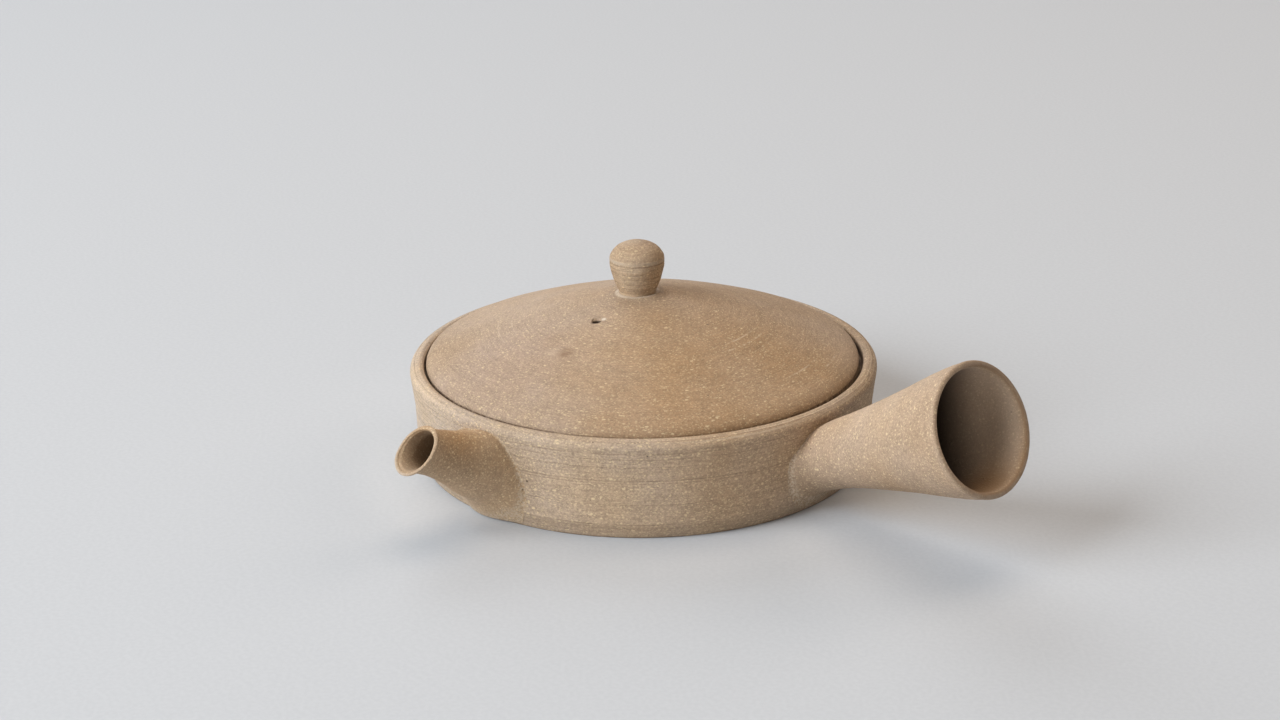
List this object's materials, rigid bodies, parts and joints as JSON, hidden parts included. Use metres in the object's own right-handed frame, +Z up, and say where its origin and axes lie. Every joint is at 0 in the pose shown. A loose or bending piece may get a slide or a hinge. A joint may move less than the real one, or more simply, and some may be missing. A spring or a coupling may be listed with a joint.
{
  "type": "side-handled teapot",
  "caption": "Low flat unglazed clay teapot with a hollow trumpet side handle, a short flared spout with a pierced strainer behind it, and a lift-off domed lid with a knob.",
  "frame": {"origin": "centre of the flat base, on the surface that the pot stands on", "axes": "+X along the handle as seen from above, +Z up; the spout points along -Y, 86.7 degrees round from the handle"},
  "size_m": [0.1751, 0.1442, 0.0567],
  "materials": {
    "clay_bowl": "matte",
    "clay_spout": "matte",
    "clay_handle": "matte",
    "clay_strainer": "matte",
    "clay_lid": "matte",
    "clay_lid_knob": "matte"
  },
  "bodies": {
    "pot": {"bowl": "clay_bowl", "spout": "clay_spout", "handle": "clay_handle", "strainer": "clay_strainer"},
    "lid": {"lid": "clay_lid", "lid_knob": "clay_lid_knob"}
  },
  "joints": [
    {"name": "lid_lift", "type": "slide", "parent": "pot", "child": "lid", "axis": [0, 0, 1], "range_m": [0, 0.06]}
  ]
}
